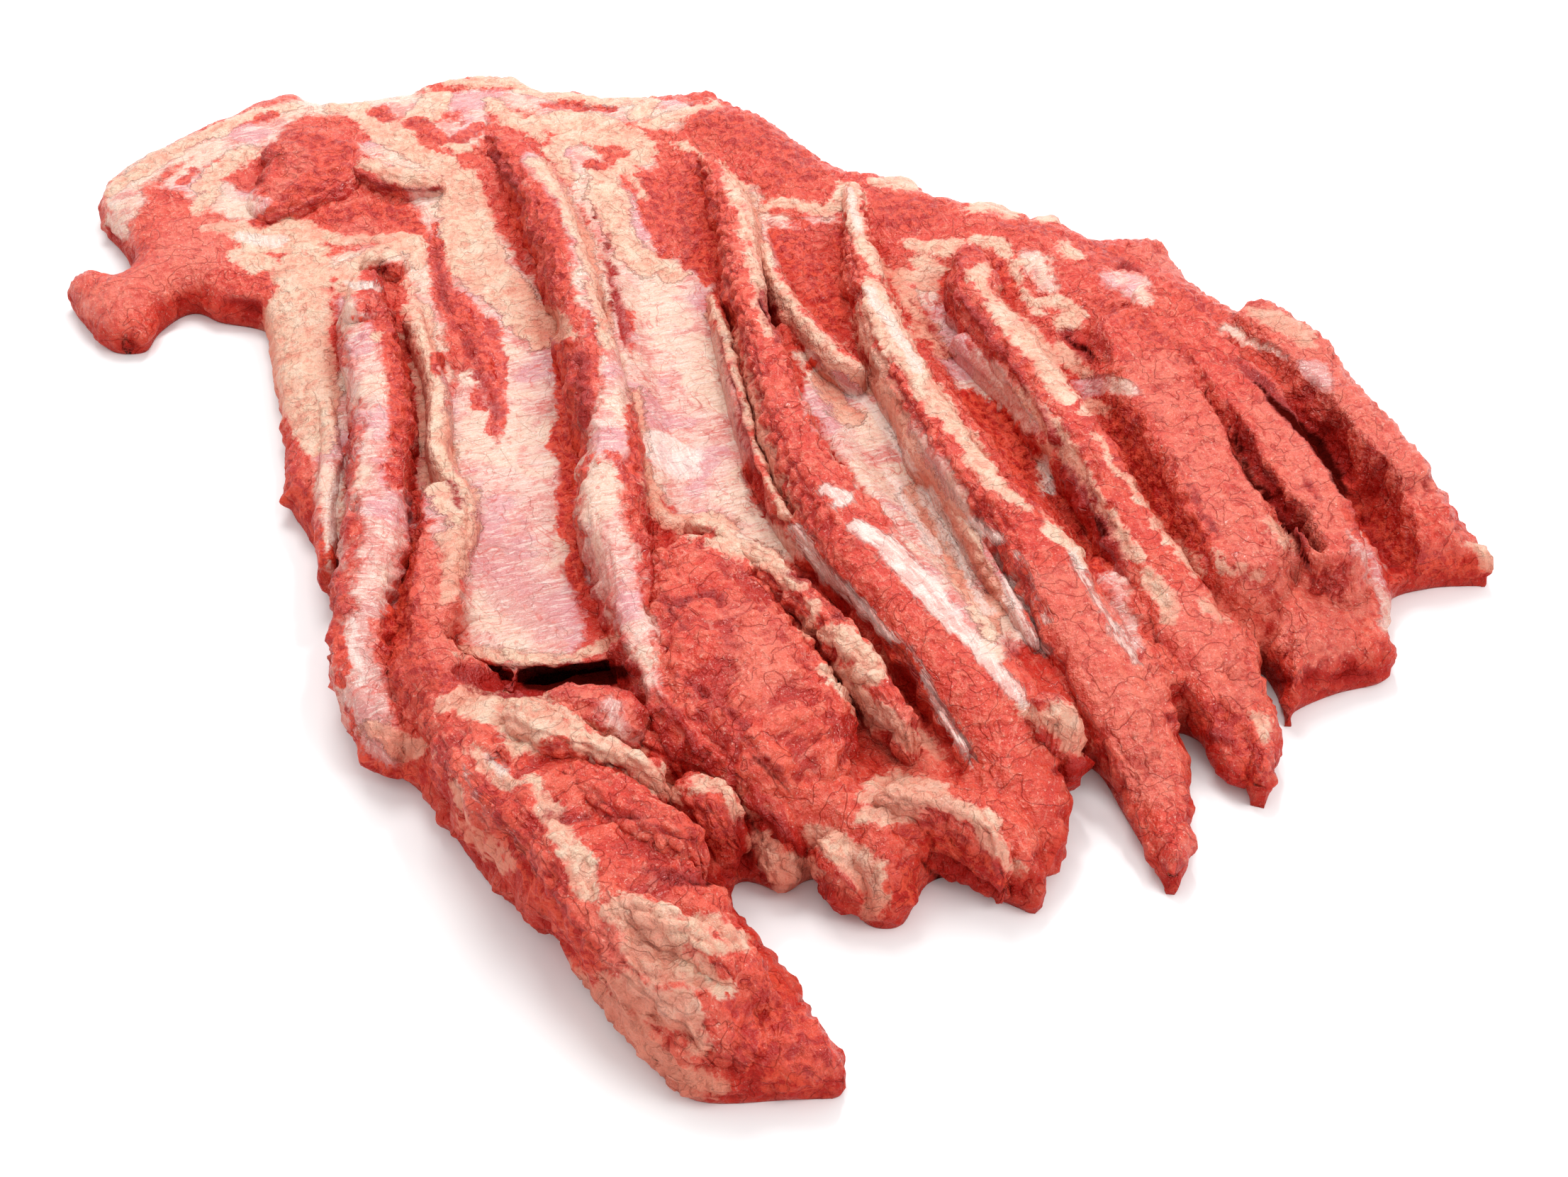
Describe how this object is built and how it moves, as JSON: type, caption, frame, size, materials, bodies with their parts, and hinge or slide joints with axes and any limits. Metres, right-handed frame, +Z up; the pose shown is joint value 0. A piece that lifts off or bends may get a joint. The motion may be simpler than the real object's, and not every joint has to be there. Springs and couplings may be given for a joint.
{
  "type": "raw beef flank",
  "caption": "Boneless raw side of beef ribs laid flat, inner side up, with long rib muscles, beds, fat straps and loose ends.",
  "frame": {"origin": "middle of the bounding box on the flat underside", "axes": "+Z up out of the inner side of the ribs, +Y from the loose finger ends towards the far edge, +X towards the folded end"},
  "size_m": [0.7097, 0.7293, 0.0598],
  "materials": {
    "beef": "moist raw beef, coral red lean with cream fat and pale membranes, semi-gloss"
  },
  "bodies": {
    "root": {"beef_flank": "beef"}
  },
  "joints": []
}
